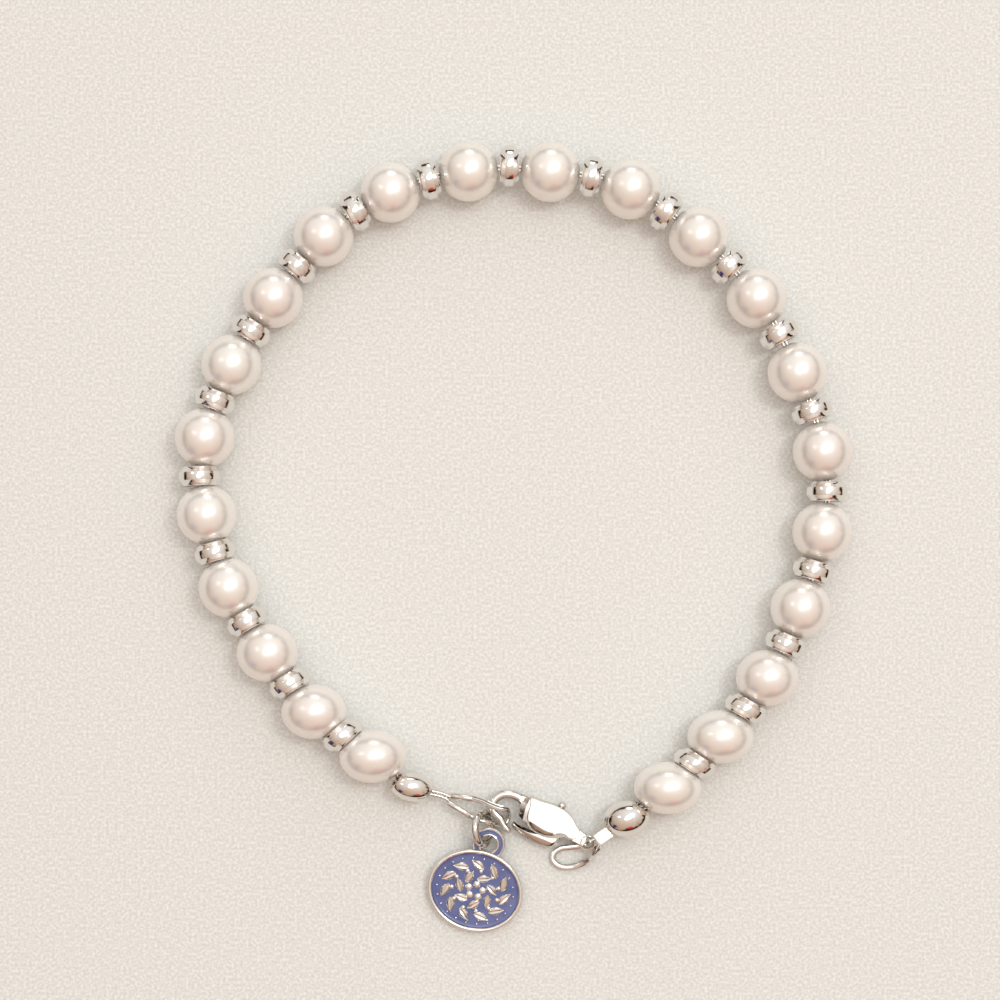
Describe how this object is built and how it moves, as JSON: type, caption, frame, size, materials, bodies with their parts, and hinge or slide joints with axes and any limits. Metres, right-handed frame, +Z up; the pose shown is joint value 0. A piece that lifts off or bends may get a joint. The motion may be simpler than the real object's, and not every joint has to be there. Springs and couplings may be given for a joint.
{
  "type": "pearl bracelet",
  "caption": "Pearl bracelet lying as a closed loop: round cream pearls with banded silver spacers on a cable, wire guards, a lobster clasp and a small blue enamelled tag.",
  "frame": {"origin": "centre of the bracelet's footprint, on the surface it lies on", "axes": "+Z up from the surface, -Y towards the clasp and tag, +X to the right with the clasp in front"},
  "size_m": [0.0564, 0.066, 0.005],
  "materials": {
    "pearl": "lustrous pearl lacquer",
    "spacer_silver": "polished",
    "bead_silver": "polished",
    "cable_steel": "nylon coated steel cable",
    "crimp_silver": "polished, pressed flat",
    "guard_silver": "polished",
    "clasp_steel": "polished",
    "ring_steel": "polished",
    "tag_silver": "polished",
    "tag_enamel": "glossy blue enamel"
  },
  "bodies": {
    "bracelet": {"pearl_01": "pearl", "pearl_02": "pearl", "pearl_03": "pearl", "pearl_04": "pearl", "pearl_05": "pearl", "pearl_06": "pearl", "pearl_07": "pearl", "pearl_08": "pearl", "pearl_09": "pearl", "pearl_10": "pearl", "pearl_11": "pearl", "pearl_12": "pearl", "pearl_13": "pearl", "pearl_14": "pearl", "pearl_15": "pearl", "pearl_16": "pearl", "pearl_17": "pearl", "pearl_18": "pearl", "pearl_19": "pearl", "pearl_20": "pearl", "pearl_21": "pearl", "pearl_22": "pearl", "spacer_01": "spacer_silver", "spacer_02": "spacer_silver", "spacer_03": "spacer_silver", "spacer_04": "spacer_silver", "spacer_05": "spacer_silver", "spacer_06": "spacer_silver", "spacer_07": "spacer_silver", "spacer_08": "spacer_silver", "spacer_09": "spacer_silver", "spacer_10": "spacer_silver", "spacer_11": "spacer_silver", "spacer_12": "spacer_silver", "spacer_13": "spacer_silver", "spacer_14": "spacer_silver", "spacer_15": "spacer_silver", "spacer_16": "spacer_silver", "spacer_17": "spacer_silver", "spacer_18": "spacer_silver", "spacer_19": "spacer_silver", "spacer_20": "spacer_silver", "spacer_21": "spacer_silver", "cover_bead_left": "bead_silver", "cover_bead_right": "bead_silver", "bead_cable": "cable_steel", "crimp_tube": "crimp_silver", "guard_left": "guard_silver", "guard_right": "guard_silver", "clasp_body": "clasp_steel", "clasp_pin": "clasp_steel", "jump_ring": "ring_steel", "tag": "tag_silver", "tag_enamel": "tag_enamel", "tag_ear_enamel": "tag_enamel"},
    "lever": {"clasp_lever": "clasp_steel"}
  },
  "joints": [
    {"name": "clasp_lever_hinge", "type": "hinge", "parent": "bracelet", "child": "lever", "pos_m": [0.00343, -0.02461, 0.0011], "axis": [0, 0, -1], "range_deg": [0, 16], "stiffness_Nm_per_rad": 0.002}
  ]
}
